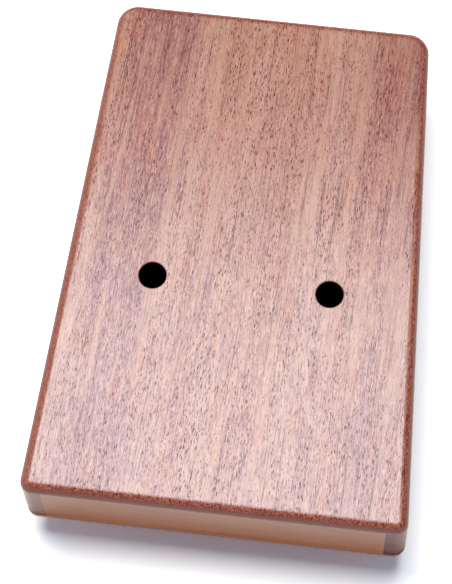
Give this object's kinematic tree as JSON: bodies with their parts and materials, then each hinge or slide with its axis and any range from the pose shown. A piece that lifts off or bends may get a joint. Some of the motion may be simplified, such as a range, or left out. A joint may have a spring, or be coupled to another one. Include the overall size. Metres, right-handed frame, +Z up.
{
  "type": "kalimba",
  "caption": "Box thumb piano lying face down: tapered wooden sound box, round holes, spring-steel tines over a metal saddle, held by a screwed pressure bar.",
  "frame": {"origin": "middle of the box's plan, on the surface that the instrument lies on face down", "axes": "+Z up, out of the back board; +Y along the box, from the wide bridge end to the narrow player's end; +X to the player's right when the tines face the player"},
  "size_m": [0.1338, 0.185, 0.0516],
  "materials": {
    "sapele_board": "satin lacquer over open pores",
    "sapele_side": "satin lacquer",
    "beech_block": "satin lacquer",
    "walnut_strip": "satin lacquer",
    "steel_rod": "ground bright",
    "plated_bar": "nickel plated",
    "steel_screw": "zinc plated",
    "brass_insert": "turned",
    "spring_steel": "polished spring steel"
  },
  "bodies": {
    "soundbox": {"back_board": "sapele_board", "front_board": "sapele_board", "left_side": "sapele_side", "right_side": "sapele_side", "bridge_end_block": "beech_block", "player_end_block": "beech_block", "bridge_brace": "beech_block", "threaded_inserts": "brass_insert", "saddle_strip": "walnut_strip", "saddle_rod": "steel_rod", "rear_rest_strip": "walnut_strip", "rear_rest_rod": "steel_rod", "pressure_bar": "plated_bar", "bar_screws": "steel_screw"},
    "tine_01": {"tine_01": "spring_steel"},
    "tine_02": {"tine_02": "spring_steel"},
    "tine_03": {"tine_03": "spring_steel"},
    "tine_04": {"tine_04": "spring_steel"},
    "tine_05": {"tine_05": "spring_steel"},
    "tine_06": {"tine_06": "spring_steel"},
    "tine_07": {"tine_07": "spring_steel"},
    "tine_08": {"tine_08": "spring_steel"},
    "tine_09": {"tine_09": "spring_steel"},
    "tine_10": {"tine_10": "spring_steel"},
    "tine_11": {"tine_11": "spring_steel"},
    "tine_12": {"tine_12": "spring_steel"},
    "tine_13": {"tine_13": "spring_steel"},
    "tine_14": {"tine_14": "spring_steel"},
    "tine_15": {"tine_15": "spring_steel"},
    "tine_16": {"tine_16": "spring_steel"},
    "tine_17": {"tine_17": "spring_steel"}
  },
  "joints": [
    {"name": "pluck_01", "type": "hinge", "parent": "soundbox", "child": "tine_01", "pos_m": [-0.04829, -0.0465, 0.00834], "axis": [1, 0, 0], "range_deg": [-1, 2], "stiffness_Nm_per_rad": 6.283},
    {"name": "pluck_02", "type": "hinge", "parent": "soundbox", "child": "tine_02", "pos_m": [-0.04225, -0.0465, 0.00834], "axis": [1, 0, 0], "range_deg": [-1, 2], "stiffness_Nm_per_rad": 5.762},
    {"name": "pluck_03", "type": "hinge", "parent": "soundbox", "child": "tine_03", "pos_m": [-0.03622, -0.0465, 0.00834], "axis": [1, 0, 0], "range_deg": [-1, 2], "stiffness_Nm_per_rad": 5.133},
    {"name": "pluck_04", "type": "hinge", "parent": "soundbox", "child": "tine_04", "pos_m": [-0.03018, -0.0465, 0.00834], "axis": [1, 0, 0], "range_deg": [-1, 2], "stiffness_Nm_per_rad": 4.707},
    {"name": "pluck_05", "type": "hinge", "parent": "soundbox", "child": "tine_05", "pos_m": [-0.02414, -0.0465, 0.00834], "axis": [1, 0, 0], "range_deg": [-1, 2], "stiffness_Nm_per_rad": 4.193},
    {"name": "pluck_06", "type": "hinge", "parent": "soundbox", "child": "tine_06", "pos_m": [-0.01811, -0.0465, 0.00834], "axis": [1, 0, 0], "range_deg": [-1, 2], "stiffness_Nm_per_rad": 3.845},
    {"name": "pluck_07", "type": "hinge", "parent": "soundbox", "child": "tine_07", "pos_m": [-0.01207, -0.0465, 0.00834], "axis": [1, 0, 0], "range_deg": [-1, 2], "stiffness_Nm_per_rad": 3.426},
    {"name": "pluck_08", "type": "hinge", "parent": "soundbox", "child": "tine_08", "pos_m": [-0.00604, -0.0465, 0.00834], "axis": [1, 0, 0], "range_deg": [-1, 2], "stiffness_Nm_per_rad": 3.141},
    {"name": "pluck_09", "type": "hinge", "parent": "soundbox", "child": "tine_09", "pos_m": [0, -0.0465, 0.00834], "axis": [1, 0, 0], "range_deg": [-1, 2], "stiffness_Nm_per_rad": 2.965},
    {"name": "pluck_10", "type": "hinge", "parent": "soundbox", "child": "tine_10", "pos_m": [0.00604, -0.0465, 0.00834], "axis": [1, 0, 0], "range_deg": [-1, 2], "stiffness_Nm_per_rad": 3.328},
    {"name": "pluck_11", "type": "hinge", "parent": "soundbox", "child": "tine_11", "pos_m": [0.01207, -0.0465, 0.00834], "axis": [1, 0, 0], "range_deg": [-1, 2], "stiffness_Nm_per_rad": 3.63},
    {"name": "pluck_12", "type": "hinge", "parent": "soundbox", "child": "tine_12", "pos_m": [0.01811, -0.0465, 0.00834], "axis": [1, 0, 0], "range_deg": [-1, 2], "stiffness_Nm_per_rad": 4.074},
    {"name": "pluck_13", "type": "hinge", "parent": "soundbox", "child": "tine_13", "pos_m": [0.02414, -0.0465, 0.00834], "axis": [1, 0, 0], "range_deg": [-1, 2], "stiffness_Nm_per_rad": 4.443},
    {"name": "pluck_14", "type": "hinge", "parent": "soundbox", "child": "tine_14", "pos_m": [0.03018, -0.0465, 0.00834], "axis": [1, 0, 0], "range_deg": [-1, 2], "stiffness_Nm_per_rad": 4.845},
    {"name": "pluck_15", "type": "hinge", "parent": "soundbox", "child": "tine_15", "pos_m": [0.03622, -0.0465, 0.00834], "axis": [1, 0, 0], "range_deg": [-1, 2], "stiffness_Nm_per_rad": 5.438},
    {"name": "pluck_16", "type": "hinge", "parent": "soundbox", "child": "tine_16", "pos_m": [0.04225, -0.0465, 0.00834], "axis": [1, 0, 0], "range_deg": [-1, 2], "stiffness_Nm_per_rad": 5.93},
    {"name": "pluck_17", "type": "hinge", "parent": "soundbox", "child": "tine_17", "pos_m": [0.04829, -0.0465, 0.00834], "axis": [1, 0, 0], "range_deg": [-1, 2], "stiffness_Nm_per_rad": 6.657}
  ]
}
